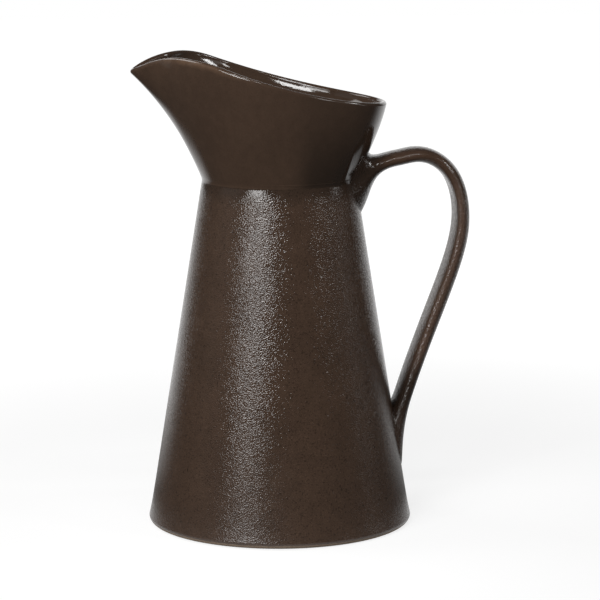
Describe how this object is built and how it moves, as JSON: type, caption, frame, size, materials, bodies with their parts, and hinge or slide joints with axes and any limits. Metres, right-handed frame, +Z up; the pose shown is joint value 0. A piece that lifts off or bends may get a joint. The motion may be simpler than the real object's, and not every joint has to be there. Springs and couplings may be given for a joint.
{
  "type": "jug",
  "caption": "Tall conical stoneware jug with a flat base, a flared collar drawn out into a pouring lip, and a strap handle from the waist to the lower body.",
  "frame": {"origin": "centre of the flat underside of the base, on the axis of the conical body", "axes": "+Z up along the body's axis, -X towards the pouring lip, +X towards the handle, Y across the jug"},
  "size_m": [0.1614, 0.1264, 0.225],
  "materials": {
    "glaze": "semi-gloss dark brown glaze over stoneware, bare clay underneath"
  },
  "bodies": {
    "root": {"base": "glaze", "body_wall": "glaze", "collar": "glaze", "handle": "glaze", "handle_upper_root": "glaze", "handle_lower_root": "glaze"}
  },
  "joints": []
}
